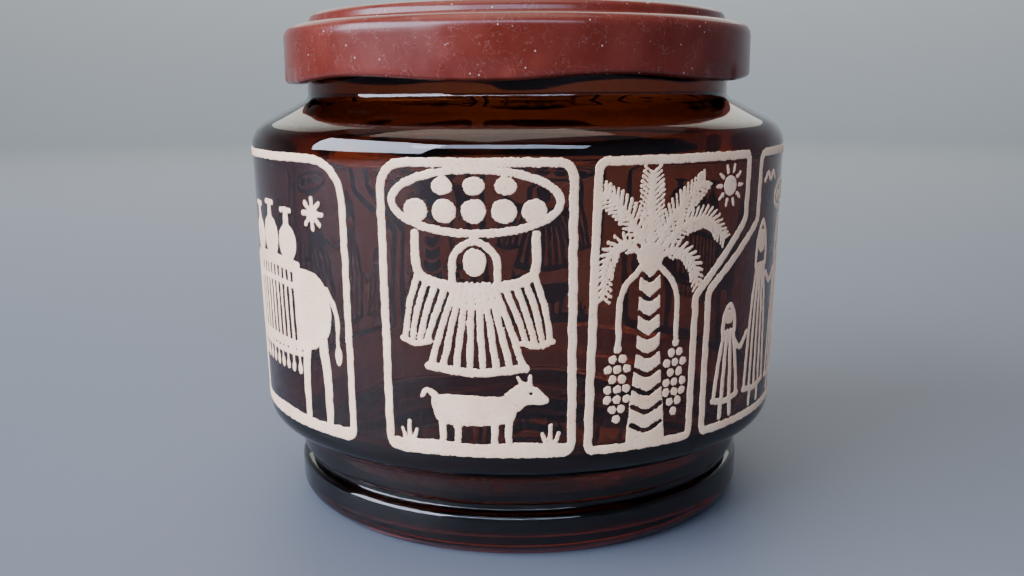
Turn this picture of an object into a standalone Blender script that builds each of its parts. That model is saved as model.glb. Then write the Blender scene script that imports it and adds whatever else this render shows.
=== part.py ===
"""Pressed-glass storage jar with a twist-off lid, its pieces placed as they stand closed.

The jar is turned about +Z and stands on z = 0, its front towards -Y. The gasket
carries the lift of the lid, and the lid shell turns on the gasket. The lid is drawn
with its lugs in the gaps of the neck's thread, where it can be lifted straight off.
"""
import math

import bmesh
import bpy
from mathutils import Matrix

MM = 0.001

# Glass jar: outer shape, from the foot up
FOOT_RADIUS = 42.6 * MM
FOOT_HEIGHT = 7.1 * MM
FOOT_LEAN = 2.2 * MM            # how far the foot ring's rounded underside comes in
FOOT_BEVEL_HEIGHT = 1.9 * MM
BEARING_WIDTH = 1.8 * MM        # flat ring that the jar stands on, before its fillets
GROOVE_DEPTH = 1.5 * MM
GROOVE_HEIGHT = 2.3 * MM
GROOVE_FLARE = 0.6 * MM
WAIST_RADIUS = 42.4 * MM
WAIST_HEIGHT = 4.0 * MM
HEEL_RISE = 3.2 * MM
BODY_RADIUS = 49.35 * MM        # at the shoulder's corner
BODY_HEIGHT = 51.4 * MM         # from the heel's corner to the shoulder's corner
BODY_DRAFT = math.radians(1.3)
SHOULDER_SLOPE = math.radians(27.3)
NECK_RADIUS = 38.9 * MM
NECK_HEIGHT = 12.0 * MM
SHOULDER_FILLET = 4.9 * MM
HEEL_FILLET = 3.6 * MM
NECK_FILLET = 1.2 * MM
LIP_FILLET = 0.9 * MM
GROOVE_FILLET = 0.4 * MM
FOOT_FILLET = 2.6 * MM
BEARING_FILLET = 0.5 * MM
RIM_FILLET = 1.2 * MM

# Glass jar: inside
WALL = 3.2 * MM
BORE_WALL = 2.9 * MM            # glass between the neck and the bore
FLOOR = 4.6 * MM
PUSH_UP_HEIGHT = 3.0 * MM       # hollow under the jar
PUSH_UP_LEAN = 1.2 * MM
PUSH_UP_DOME = 1.0 * MM
PUSH_UP_FILLET = 1.6 * MM
FLOOR_FILLET = 4.0 * MM
INNER_FILLET = 3.0 * MM

# Thread: six bars around the neck, each higher where a lug comes in under it
THREAD_COUNT = 6
THREAD_BAR_RADIUS = 1.25 * MM
THREAD_PROUD = 1.75 * MM        # how far a bar stands out of the neck
THREAD_SPAN = math.radians(34.0)
THREAD_RISE = 1.8 * MM
THREAD_END_TAPER = 0.45         # radius of a bar's ends as a part of its middle
THREAD_POINTS = 9

# Lid shell
SHEET = 0.4 * MM
CURL_RADIUS = 0.8 * MM
SKIRT_HEIGHT = 10.2 * MM
SKIRT_FILLET = 2.8 * MM
RING_INSET = 4.35 * MM          # from the skirt in to the raised stacking ring
RING_WIDTH = 6.6 * MM
RING_HEIGHT = 2.15 * MM
RING_FILLET = 1.5 * MM
RING_LEAN = 0.5 * MM
PANEL_DROP = 1.1 * MM           # the middle panel lies this far below the ring
PANEL_FILLET = 0.7 * MM
LUG_WIDTH = 9.0 * MM
LUG_HEIGHT = 1.5 * MM
LUG_BEVEL = 0.35 * MM
LUG_AZIMUTH = math.radians(-98.0)   # of the first lug, from +X; the front is -90 degrees

# Gasket
GASKET_THICKNESS = 1.8 * MM
GASKET_WIDTH = 4.4 * MM
GASKET_FILLET = 0.4 * MM

# Fits
SEAT_GAP = 0.3 * MM             # between faces that rest on each other
CURL_CLEARANCE = 0.5 * MM       # the curl passes the thread bars when the lid lifts
LUG_CLEARANCE = 0.6 * MM        # between a lug's tip and the neck
LOCK_GAP = 0.35 * MM            # between a lug and the bar above it when locked

# Facets
TURN_STEPS = 40
ARC_STEP = math.radians(30.0)
MERGE = 0.00001

# Heights up the jar
GROOVE_TOP_Z = FOOT_HEIGHT + GROOVE_HEIGHT
WAIST_TOP_Z = GROOVE_TOP_Z + WAIST_HEIGHT
HEEL_Z = WAIST_TOP_Z + HEEL_RISE
SHOULDER_Z = HEEL_Z + BODY_HEIGHT
NECK_BASE_Z = SHOULDER_Z + (BODY_RADIUS - NECK_RADIUS) * math.tan(SHOULDER_SLOPE)
RIM_Z = NECK_BASE_Z + NECK_HEIGHT
FLOOR_Z = PUSH_UP_HEIGHT + FLOOR
HEEL_RADIUS = BODY_RADIUS - BODY_HEIGHT * math.tan(BODY_DRAFT)
BORE_RADIUS = NECK_RADIUS - BORE_WALL

# Heights and radii of the lid, worked up from the rim and out from the thread
GASKET_Z = RIM_Z + SEAT_GAP
RING_TOP_Z = GASKET_Z + GASKET_THICKNESS + SEAT_GAP + SHEET
FLANGE_Z = RING_TOP_Z - RING_HEIGHT
LID_EDGE_Z = FLANGE_Z - SKIRT_HEIGHT
THREAD_OUTER_RADIUS = NECK_RADIUS + THREAD_PROUD
LID_RADIUS = THREAD_OUTER_RADIUS + CURL_CLEARANCE + 2 * CURL_RADIUS
RING_RADIUS = LID_RADIUS - RING_INSET
LUG_TIP_RADIUS = NECK_RADIUS + LUG_CLEARANCE
THREAD_Z = LID_EDGE_Z + LUG_HEIGHT + LOCK_GAP + THREAD_BAR_RADIUS


def clear_scene():
    for item in list(bpy.data.objects):
        bpy.data.objects.remove(item, do_unlink=True)


def new_collection(name):
    collection = bpy.data.collections.new(name)
    bpy.context.scene.collection.children.link(collection)
    return collection


def principled(name, colour, roughness, metallic=0.0, transmission=0.0):
    material = bpy.data.materials.new(name)
    material.use_nodes = True
    shader = material.node_tree.nodes["Principled BSDF"]
    shader.inputs["Base Color"].default_value = (*colour, 1.0)
    shader.inputs["Roughness"].default_value = roughness
    shader.inputs["Metallic"].default_value = metallic
    shader.inputs["Transmission Weight"].default_value = transmission
    material.diffuse_color = (*colour, 1.0)
    return material


def corner_arc(before, corner, after, fillet):
    """Points of the fillet at one corner of an outline, limited by its two sides."""
    to_before = (before[0] - corner[0], before[1] - corner[1])
    to_after = (after[0] - corner[0], after[1] - corner[1])
    length_before = math.hypot(*to_before)
    length_after = math.hypot(*to_after)
    start = math.atan2(to_before[1], to_before[0])
    swing = math.remainder(math.atan2(to_after[1], to_after[0]) - start, math.tau)
    turn = math.pi - abs(swing)
    if fillet <= 0.0 or turn < 0.01:
        return [corner]
    reach = min(fillet * math.tan(turn / 2), 0.48 * length_before, 0.48 * length_after)
    radius = reach / math.tan(turn / 2)
    middle = start + swing / 2
    from_corner = radius / math.sin(abs(swing) / 2)
    centre = (corner[0] + from_corner * math.cos(middle), corner[1] + from_corner * math.sin(middle))
    side = 1 if swing > 0 else -1
    first = start - side * math.pi / 2
    count = max(1, math.ceil(turn / ARC_STEP))
    angles = [first - side * turn * step / count for step in range(count + 1)]
    return [(centre[0] + radius * math.cos(a), centre[1] + radius * math.sin(a)) for a in angles]


def rounded(corners):
    """Outline through (radius, height, fillet) corners; its two ends stay sharp."""
    points = [corners[0][:2]]
    for before, corner, after in zip(corners, corners[1:], corners[2:]):
        points += corner_arc(before[:2], corner[:2], after[:2], corner[2])
    return points + [corners[-1][:2]]


def turned(name, outline, origin_z, material, collection, closed=False):
    """Body of revolution about +Z, with its origin on the axis at origin_z."""
    count = len(outline)
    edges = [(i, i + 1) for i in range(count - 1)]
    if closed:
        edges.append((count - 1, 0))
    mesh = bpy.data.meshes.new(name)
    mesh.from_pydata([(r, 0.0, z - origin_z) for r, z in outline], edges, [])
    body = bpy.data.objects.new(name, mesh)
    collection.objects.link(body)
    mesh.materials.append(material)
    screw = body.modifiers.new("turn", "SCREW")
    screw.axis = "Z"
    screw.steps = TURN_STEPS
    screw.render_steps = TURN_STEPS
    screw.use_merge_vertices = True
    screw.merge_threshold = MERGE
    screw.use_smooth_shade = True
    return body


def bake(body):
    """Replace an object's modifiers by the mesh they make."""
    bpy.context.view_layer.update()
    evaluated = body.evaluated_get(bpy.context.evaluated_depsgraph_get())
    body.data = bpy.data.meshes.new_from_object(evaluated)
    body.modifiers.clear()


def join_on(body, tool):
    """Union a hidden tool into a body, and shade the round faces smooth."""
    tool.hide_render = True
    tool.display_type = "WIRE"
    union = body.modifiers.new("join " + tool.name, "BOOLEAN")
    union.operation = "UNION"
    union.solver = "EXACT"
    union.object = tool


def smooth(body):
    body.data.shade_smooth()
    body.data.set_sharp_from_angle(angle=math.radians(35.0))


def merged(name, meshes, collection):
    """One object that holds several closed meshes, placed in world space."""
    tool = bmesh.new()
    for mesh in meshes:
        tool.from_mesh(mesh)
    bmesh.ops.recalc_face_normals(tool, faces=tool.faces)
    mesh = bpy.data.meshes.new(name)
    tool.to_mesh(mesh)
    tool.free()
    body = bpy.data.objects.new(name, mesh)
    collection.objects.link(body)
    return body


def thread_bar(end_azimuth, collection):
    """Round glass bar along the neck; it climbs from its low end to its entry end."""
    curve = bpy.data.curves.new("thread_bar", "CURVE")
    curve.dimensions = "3D"
    curve.bevel_depth = THREAD_BAR_RADIUS
    curve.bevel_resolution = 2
    curve.use_fill_caps = True
    spline = curve.splines.new("POLY")
    spline.points.add(THREAD_POINTS - 1)
    for index, point in enumerate(spline.points):
        along = index / (THREAD_POINTS - 1)
        size = THREAD_END_TAPER + (1 - THREAD_END_TAPER) * math.sin(math.pi * along) ** 0.5
        azimuth = end_azimuth + THREAD_SPAN * along
        radius = NECK_RADIUS + (THREAD_PROUD - THREAD_BAR_RADIUS) * size
        height = THREAD_Z + THREAD_RISE * along
        point.co = (radius * math.cos(azimuth), radius * math.sin(azimuth), height, 1.0)
        point.radius = size
    guide = bpy.data.objects.new("thread_bar", curve)
    collection.objects.link(guide)
    bpy.context.view_layer.update()
    evaluated = guide.evaluated_get(bpy.context.evaluated_depsgraph_get())
    mesh = bpy.data.meshes.new_from_object(evaluated)
    bpy.data.objects.remove(guide, do_unlink=True)
    weld = bmesh.new()
    weld.from_mesh(mesh)
    bmesh.ops.remove_doubles(weld, verts=weld.verts, dist=MERGE)
    weld.to_mesh(mesh)
    weld.free()
    return mesh


def lug_block(azimuth):
    """Bevelled block from a lug's tip to the middle of the curl."""
    outer = LID_RADIUS - CURL_RADIUS
    block = bmesh.new()
    bmesh.ops.create_cube(block, size=1.0)
    size = Matrix.Diagonal((outer - LUG_TIP_RADIUS, LUG_WIDTH, LUG_HEIGHT, 1.0))
    bmesh.ops.transform(block, matrix=size, verts=block.verts)
    bmesh.ops.bevel(block, geom=block.edges, offset=LUG_BEVEL, segments=2, affect="EDGES", profile=0.5)
    middle = Matrix.Translation(((outer + LUG_TIP_RADIUS) / 2, 0.0, LUG_HEIGHT / 2))
    place = Matrix.Rotation(azimuth, 4, "Z") @ middle
    bmesh.ops.transform(block, matrix=place, verts=block.verts)
    mesh = bpy.data.meshes.new("lug")
    block.to_mesh(mesh)
    block.free()
    return mesh


def jar_outline():
    """Half section of the glass: up the inside from the floor, over the rim, down the outside."""
    floor_radius = WAIST_RADIUS - WALL - GROOVE_DEPTH / 2
    rim_fillet = min(RIM_FILLET, BORE_WALL * 0.45)
    bearing_outer = FOOT_RADIUS - FOOT_LEAN
    bearing_inner = bearing_outer - BEARING_WIDTH
    groove_radius = min(FOOT_RADIUS, WAIST_RADIUS) - GROOVE_DEPTH
    return rounded([
        (0.0, FLOOR_Z + PUSH_UP_DOME, 0.0),
        (floor_radius, FLOOR_Z, FLOOR_FILLET),
        (floor_radius, WAIST_TOP_Z + WALL * 0.6, INNER_FILLET),
        (HEEL_RADIUS - WALL, HEEL_Z + WALL * 0.6, INNER_FILLET),
        (BODY_RADIUS - WALL, SHOULDER_Z - WALL * 0.6, SHOULDER_FILLET),
        (BORE_RADIUS, NECK_BASE_Z - WALL * 0.6, INNER_FILLET),
        (BORE_RADIUS, RIM_Z, rim_fillet),
        (NECK_RADIUS, RIM_Z, rim_fillet),
        (NECK_RADIUS, NECK_BASE_Z, NECK_FILLET),
        (BODY_RADIUS, SHOULDER_Z, SHOULDER_FILLET),
        (HEEL_RADIUS, HEEL_Z, HEEL_FILLET),
        (WAIST_RADIUS, WAIST_TOP_Z, LIP_FILLET),
        (WAIST_RADIUS, GROOVE_TOP_Z, LIP_FILLET),
        (groove_radius, GROOVE_TOP_Z - GROOVE_FLARE, GROOVE_FILLET),
        (groove_radius, FOOT_HEIGHT + GROOVE_FLARE, GROOVE_FILLET),
        (FOOT_RADIUS, FOOT_HEIGHT, LIP_FILLET),
        (FOOT_RADIUS, FOOT_BEVEL_HEIGHT, FOOT_FILLET),
        (bearing_outer, 0.0, BEARING_FILLET),
        (bearing_inner, 0.0, BEARING_FILLET),
        (bearing_inner - PUSH_UP_LEAN, PUSH_UP_HEIGHT, PUSH_UP_FILLET),
        (0.0, PUSH_UP_HEIGHT + PUSH_UP_DOME, 0.0),
    ])


def curl_arc():
    """The lid's rolled edge, from the outside of the skirt round to its inside."""
    centre_r = LID_RADIUS - CURL_RADIUS
    centre_z = LID_EDGE_Z + CURL_RADIUS
    sweep = math.tau - math.acos((CURL_RADIUS - SHEET) / CURL_RADIUS)
    count = math.ceil(sweep / ARC_STEP)
    angles = [-sweep * step / count for step in range(count + 1)]
    return [(centre_r + CURL_RADIUS * math.cos(a), centre_z + CURL_RADIUS * math.sin(a)) for a in angles]


def lid_outline():
    """Half section of the sheet: out over the top, down the skirt, round the curl, back inside."""
    ring_inner = RING_RADIUS - RING_WIDTH
    panel_radius = ring_inner - PANEL_DROP
    panel_z = RING_TOP_Z - PANEL_DROP
    outside = [
        (0.0, panel_z, 0.0),
        (panel_radius, panel_z, PANEL_FILLET),
        (ring_inner, RING_TOP_Z, PANEL_FILLET),
        (RING_RADIUS - RING_LEAN, RING_TOP_Z, RING_FILLET),
        (RING_RADIUS, FLANGE_Z, PANEL_FILLET),
        (LID_RADIUS, FLANGE_Z, SKIRT_FILLET),
        (LID_RADIUS, LID_EDGE_Z + CURL_RADIUS, 0.0),
    ]
    inner_radius = LID_RADIUS - SHEET
    inside = [
        (inner_radius, LID_EDGE_Z + 2 * CURL_RADIUS, 0.0),
        (inner_radius, FLANGE_Z - SHEET, SKIRT_FILLET - SHEET),
        (RING_RADIUS - SHEET, FLANGE_Z - SHEET, PANEL_FILLET),
        (RING_RADIUS - RING_LEAN - SHEET, RING_TOP_Z - SHEET, RING_FILLET - SHEET),
        (ring_inner + SHEET, RING_TOP_Z - SHEET, PANEL_FILLET),
        (panel_radius + SHEET, panel_z - SHEET, PANEL_FILLET),
        (0.0, panel_z - SHEET, 0.0),
    ]
    return rounded(outside)[:-1] + curl_arc() + rounded(inside)[1:]


def gasket_outline():
    """Half section of the gasket, which lies in the channel under the raised ring."""
    outer = RING_RADIUS - RING_LEAN - SHEET - SEAT_GAP
    inner = outer - GASKET_WIDTH
    top = GASKET_Z + GASKET_THICKNESS
    middle = (inner + outer) / 2
    return rounded([
        (middle, GASKET_Z, 0.0),
        (inner, GASKET_Z, GASKET_FILLET),
        (inner, top, GASKET_FILLET),
        (outer, top, GASKET_FILLET),
        (outer, GASKET_Z, GASKET_FILLET),
        (middle, GASKET_Z, 0.0),
    ])[:-1]


def build_jar(parts, tools):
    glass = principled("amber_glass", (0.17, 0.05, 0.02), 0.05, transmission=0.8)
    jar = turned("jar_body", jar_outline(), 0.0, glass, parts)
    pitch = math.tau / THREAD_COUNT
    lug_half = LUG_WIDTH / 2 / LUG_TIP_RADIUS
    spare = (pitch - THREAD_SPAN) / 2 - lug_half
    first = LUG_AZIMUTH - lug_half - spare - THREAD_SPAN
    bars = [thread_bar(first + pitch * number, tools) for number in range(THREAD_COUNT)]
    bake(jar)
    join_on(jar, merged("thread_bars", bars, tools))
    bake(jar)
    smooth(jar)
    return jar


def build_gasket(parts):
    compound = principled("sealing_compound", (0.78, 0.75, 0.68), 0.55)
    gasket = turned("lid_gasket", gasket_outline(), GASKET_Z, compound, parts, closed=True)
    gasket.location.z = GASKET_Z
    return gasket


def build_lid(parts, tools):
    paint = principled("painted_tinplate", (0.20, 0.045, 0.035), 0.3)
    shell = turned("lid_shell", lid_outline(), LID_EDGE_Z, paint, parts)
    pitch = math.tau / THREAD_COUNT
    lugs = [lug_block(LUG_AZIMUTH + pitch * number) for number in range(THREAD_COUNT)]
    bake(shell)
    join_on(shell, merged("lug_blocks", lugs, tools))
    bake(shell)
    smooth(shell)
    shell.location.z = LID_EDGE_Z
    return shell


def main():
    clear_scene()
    parts = new_collection("storage_jar")
    tools = new_collection("tools")
    jar = build_jar(parts, tools)
    gasket = build_gasket(parts)
    shell = build_lid(parts, tools)
    gasket.parent = jar
    shell.parent = gasket
    shell.location.z = LID_EDGE_Z - GASKET_Z


main()
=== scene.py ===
"""Storage jar of brown pressed glass: a painted twist-off lid and a fired enamel frieze.

Laid out as an add-on and run as a script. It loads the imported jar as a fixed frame, then
each operator makes one piece, or one group of like pieces, around it. Lengths are in
metres, the jar stands on z = 0 and faces -Y, and azimuths are degrees from its front.
"""
import math

import bpy
import numpy as np
from mathutils import Matrix, Vector


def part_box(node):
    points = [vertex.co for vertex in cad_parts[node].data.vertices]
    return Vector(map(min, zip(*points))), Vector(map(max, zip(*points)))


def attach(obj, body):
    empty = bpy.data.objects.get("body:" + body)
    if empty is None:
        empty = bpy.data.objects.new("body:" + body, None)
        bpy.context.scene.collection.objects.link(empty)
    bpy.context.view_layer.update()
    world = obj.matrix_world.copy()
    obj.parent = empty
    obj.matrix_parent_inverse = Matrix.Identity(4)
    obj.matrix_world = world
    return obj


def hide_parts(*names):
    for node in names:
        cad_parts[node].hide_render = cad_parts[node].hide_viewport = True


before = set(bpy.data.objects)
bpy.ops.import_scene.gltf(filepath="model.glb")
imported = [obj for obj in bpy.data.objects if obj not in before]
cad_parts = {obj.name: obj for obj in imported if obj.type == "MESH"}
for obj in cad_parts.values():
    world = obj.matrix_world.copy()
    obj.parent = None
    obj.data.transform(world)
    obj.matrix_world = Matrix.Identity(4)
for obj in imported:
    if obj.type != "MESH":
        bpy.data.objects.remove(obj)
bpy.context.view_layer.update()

bl_info = {
    "name": "Brown glass storage jar",
    "version": (1, 0, 0),
    "blender": (4, 5, 0),
    "location": "3D View > Sidebar > Storage jar",
    "description": "Pressed-glass jar with an enamel frieze and a painted twist-off lid",
    "category": "Object",
}

MM = 0.001
ARC_STEP = math.radians(10.0)   # longest turn of one straight piece in a rounded corner
ARC_SHARE = 0.48                # most of a side that a rounded corner may take up
SMOOTH_BELOW = 40.0             # degrees between two faces that still shade as one

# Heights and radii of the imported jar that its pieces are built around
GLASS_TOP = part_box("jar_body")[1][2]
GASKET_LOW, GASKET_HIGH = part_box("lid_gasket")
LID_LOW, LID_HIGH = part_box("lid_shell")

# The frieze, in mm: where it stands, its height, and how much of it one degree holds
FRIEZE_BOTTOM = 19.3
FRIEZE_HEIGHT = 45.8
MM_PER_DEGREE = 0.8517
BORDER = 1.35                   # width of the line around a panel
STENCIL_PITCH = 0.2             # size of the stencil's cells
STENCIL_MARGIN = 0.8            # how far the stencil reaches past the panel
BARE = 3.0                      # distance to the ink that an empty stencil starts with
CROWN = 0.28                    # distance from its edge where the enamel reaches its thickness


def linear(code):
    """Linear RGB of an sRGB hex colour."""
    values = [int(code[k:k + 2], 16) / 255 for k in (1, 3, 5)]
    return tuple(v / 12.92 if v <= 0.04045 else ((v + 0.055) / 1.055) ** 2.4 for v in values)


def length(name, description, millimetres, low=0.0, high=200.0):
    return bpy.props.FloatProperty(name=name, description=description, default=millimetres * MM,
                                   min=low * MM, max=high * MM, unit="LENGTH", precision=5)


def colour(name, description, code):
    return bpy.props.FloatVectorProperty(name=name, description=description, subtype="COLOR",
                                         default=linear(code), min=0.0, max=1.0)


class GlassSettings(bpy.types.PropertyGroup):
    wall: length("Wall", "Thickness of the jar's wall", 3.2)
    floor: length("Floor", "Thickness of the jar's floor", 4.6)
    thread_proud: length("Thread", "How far a thread bar stands out of the neck", 1.7)
    wave: length("Inside wave", "Unevenness of the pressed inside face", 0.28)
    absorbed: colour("Glass colour", "Colour that the glass lets through", "#d2973a")
    density: bpy.props.FloatProperty(name="Depth of colour", default=690.0, min=0.0,
                                     description="How strongly the glass absorbs light, per metre")


class PrintSettings(bpy.types.PropertyGroup):
    proud: length("Proud", "Thickness of the fired enamel above the glass", 0.075, high=0.1)
    bedded: length("Bedded", "How deep the enamel has sunk into the glass", 0.03)
    ragged: length("Ragged edge", "Unevenness of the screen-printed edges", 0.075)
    enamel: colour("Enamel", "Colour of the enamel where it is thick", "#ffdab6")
    thin: colour("Thin enamel", "Colour of the enamel where it is thin", "#f8cba6")


class LidSettings(bpy.types.PropertyGroup):
    sheet: length("Sheet", "Thickness of the tinplate", 0.4)
    dent: length("Lug dent", "How far the skirt is pressed in over a lug", 0.35)
    scallop: length("Scallop", "Rise of the skirt's edge between two lugs", 1.0)
    paint: colour("Paint", "Colour of the stoved paint", "#5e2118")
    faded: colour("Rubbed paint", "Colour of the paint where it is rubbed", "#6c2c22")
    lacquer: colour("Lacquer", "Colour of the lacquer inside the lid", "#b8985c")


class SealSettings(bpy.types.PropertyGroup):
    round_over: length("Rounding", "Rounding of the sealing ring's edges", 0.6)
    compound: colour("Compound", "Colour of the sealing compound", "#d3cab6")


class StageSettings(bpy.types.PropertyGroup):
    floor: colour("Floor", "Colour of the table", "#60656f")
    radius: length("Radius", "Distance of the wall", 1900.0, high=5000.0)


# ---------------------------------------------------------------- surfaces

def corner_arc(before, corner, after, fillet):
    """Arc tangent to both sides of a corner: points at fillet from a centre on its bisector."""
    sides = np.array([before, after]) - corner
    spans = np.hypot(*sides.T)
    first, last = np.arctan2(sides[:, 1], sides[:, 0])
    swing = math.remainder(last - first, math.tau)
    turn = math.pi - abs(swing)
    if fillet <= 0.0 or turn < 0.01:
        return np.array([corner])
    reach = min(fillet * math.tan(turn / 2), ARC_SHARE * spans.min())
    radius = reach / math.tan(turn / 2)
    away = radius / math.sin(abs(swing) / 2)
    middle = first + swing / 2
    centre = np.add(corner, (away * math.cos(middle), away * math.sin(middle)))
    side = math.copysign(1.0, swing)
    angles = first - side * (math.pi / 2 + turn * np.linspace(0, 1, max(2, math.ceil(turn / ARC_STEP)) + 1))
    return centre + radius * np.stack([np.cos(angles), np.sin(angles)], 1)


def rounded(corners):
    """Half section through (radius, height, fillet) corners in mm, each rounded by its arc."""
    points = np.array([c[:2] for c in corners])
    arcs = [corner_arc(points[k - 1], points[k], points[k + 1], corners[k][2])
            for k in range(1, len(corners) - 1)]
    return np.vstack([points[:1], *arcs, points[-1:]])


def spaced(points, gap):
    """The same line with each side cut evenly into pieces no longer than its gap."""
    sides = np.diff(points, axis=0)
    count = np.maximum(1, np.ceil(np.hypot(*sides.T) / gap)).astype(int)
    side = np.repeat(np.arange(len(count)), count)
    step = np.arange(count.sum()) - np.repeat(np.cumsum(count) - count, count)
    return np.vstack([points[side] + sides[side] * (step / count[side])[:, None], points[-1:]])


def around(radius, azimuth, height):
    """Points at a radius, an azimuth in degrees from the front and a height, in mm to metres."""
    angle = np.radians(azimuth)
    place = np.broadcast_arrays(radius * np.sin(angle), -radius * np.cos(angle), height)
    return np.stack(place, -1) * MM


def new_piece(name, points, faces, materials, face_material=None, crease=SMOOTH_BELOW):
    """Object with the given points and faces, all of them turned over if it is inside out."""
    corners = [points[faces[:, k]] for k in range(3)]
    inside_out = np.einsum("ij,ij->", corners[0], np.cross(corners[1], corners[2])) < 0
    if inside_out:
        faces = faces[:, ::-1]
    mesh = bpy.data.meshes.new(name)
    mesh.from_pydata(points.tolist(), [], faces.tolist())
    for item in materials:
        mesh.materials.append(item)
    if face_material is not None:
        mesh.polygons.foreach_set("material_index", face_material.astype(np.int32))
    mesh.shade_smooth()
    mesh.set_sharp_from_angle(angle=math.radians(crease))
    mesh.update()
    piece = bpy.data.objects.new(name, mesh)
    bpy.context.scene.collection.objects.link(piece)
    return piece


def lattice(rows, columns, wrap_rows):
    """Two triangles for each cell of a grid whose last column, or row too, meets its first."""
    index = np.arange(rows * columns).reshape(rows, columns)
    low, high = (index, np.roll(index, -1, 0)) if wrap_rows else (index[:-1], index[1:])
    a, b, c, d = low, np.roll(low, -1, 1), np.roll(high, -1, 1), high
    return np.concatenate([np.stack([a, b, c], -1), np.stack([a, c, d], -1)]).reshape(-1, 3)


def turned(name, grid, materials, face_row=None, ring=False):
    """Closed surface over grid[section, azimuth]: a ring, or one whose end rows are poles.

    Faces from face_row of the grid's rings onwards take the second material.
    """
    if ring:
        return new_piece(name, grid.reshape(-1, 3), lattice(*grid.shape[:2], True), materials)
    rings, poles = grid[1:-1], grid[[0, -1], 0]
    rows, columns = rings.shape[:2]
    points = np.vstack([rings.reshape(-1, 3), poles])
    first = np.arange(columns)
    last = first + (rows - 1) * columns
    caps = [np.stack([np.roll(first, -1), first, np.full(columns, rows * columns)], 1),
            np.stack([last, np.roll(last, -1), np.full(columns, rows * columns + 1)], 1)]
    faces = np.vstack([lattice(rows, columns, False), *caps])
    slots = None
    if face_row is not None:
        slots = np.where(faces.min(1) // columns >= face_row, 1, 0)
        slots[-columns:] = 1
    return new_piece(name, points, faces, materials, slots)


def smoothstep(value, low, high):
    """0 below low, 1 above high, and a cubic between them."""
    t = np.clip((value - low) / (high - low), 0, 1)
    return t * t * (3 - 2 * t)


def swell(azimuth, height, seed, size):
    """Soft unevenness from -1 to 1: whole waves around the axis times waves of size up it."""
    rng = np.random.default_rng(seed)
    total = 0.0
    for turns in (2, 3, 5, 7, 11):
        phase, rise, climb = rng.uniform(0, math.tau, 3)
        total = total + np.sin(np.radians(azimuth) * turns + phase + height / size * math.tau
                               * math.cos(rise)) * np.cos(height / size * 2.2 + climb)
    return total / 3.2


# ---------------------------------------------------------------- glass

NECK_RADIUS = 38.9
BODY_RADIUS = 49.25             # a print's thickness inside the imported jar's shoulder
SHOULDER_HEIGHT = 68.0
HEEL_RADIUS = 48.08
HEEL_HEIGHT = 16.6
NECK_BASE = 73.39
THREAD_HEIGHT = 78.94
THREAD_SPAN = 34.0              # degrees from one end of a bar to the other
THREAD_CLIMB = 1.8
LUG_HALF = 6.5                  # degrees from the middle of a lug to its end
LUG_AZIMUTH = -8.0
LUG_PITCH = 60.0


def jar_section(settings):
    """Up the inside from the floor's middle, over the rim and down the outside to the base."""
    wall, floor = settings.wall / MM, settings.floor / MM
    rim = GLASS_TOP / MM
    bore = NECK_RADIUS - 2.9
    return rounded([
        (0.0, floor + 4.0, 0.0),
        (38.45, floor + 3.0, 4.5),
        (38.45, 13.4 + wall * 0.6, 3.0),
        (HEEL_RADIUS - wall, HEEL_HEIGHT + wall * 0.6, 4.0),
        (BODY_RADIUS - wall, SHOULDER_HEIGHT - wall * 0.6, 5.5),
        (bore, NECK_BASE - wall * 0.6, 3.4),
        (bore, rim, 1.25),
        (NECK_RADIUS, rim, 1.25),
        (NECK_RADIUS, NECK_BASE, 1.4),
        (BODY_RADIUS, SHOULDER_HEIGHT, 4.9),
        (HEEL_RADIUS, HEEL_HEIGHT, 3.6),
        (42.4, 13.4, 1.1),
        (42.4, 9.4, 1.2),
        (40.9, 8.8, 0.5),
        (40.9, 7.7, 0.5),
        (42.6, 7.1, 1.5),
        (42.6, 1.9, 2.6),
        (40.4, 0.0, 0.6),
        (38.6, 0.0, 0.6),
        (37.4, 3.0, 1.6),
        (0.0, 4.0, 0.0),
    ])


def thread(azimuth, height, proud):
    """Six bars that climb towards the locked lid: rounded ridges, smaller towards their ends."""
    spare = (LUG_PITCH - THREAD_SPAN - 2 * LUG_HALF) / 2
    start = LUG_AZIMUTH - LUG_HALF - spare - THREAD_SPAN
    along = np.mod(azimuth - start, LUG_PITCH) / THREAD_SPAN
    size = np.where(along < 1, 0.45 + 0.55 * np.sqrt(np.sin(math.pi * np.clip(along, 0, 1))), 0)
    ends = smoothstep(along, -0.01, 0.03) * (1 - smoothstep(along, 0.97, 1.01))
    off = (height - THREAD_HEIGHT - THREAD_CLIMB * along) / (1.5 * np.maximum(size, 0.1))
    return proud * size * ends * np.clip(1 - off * off, 0, 1) ** 0.8


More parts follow.
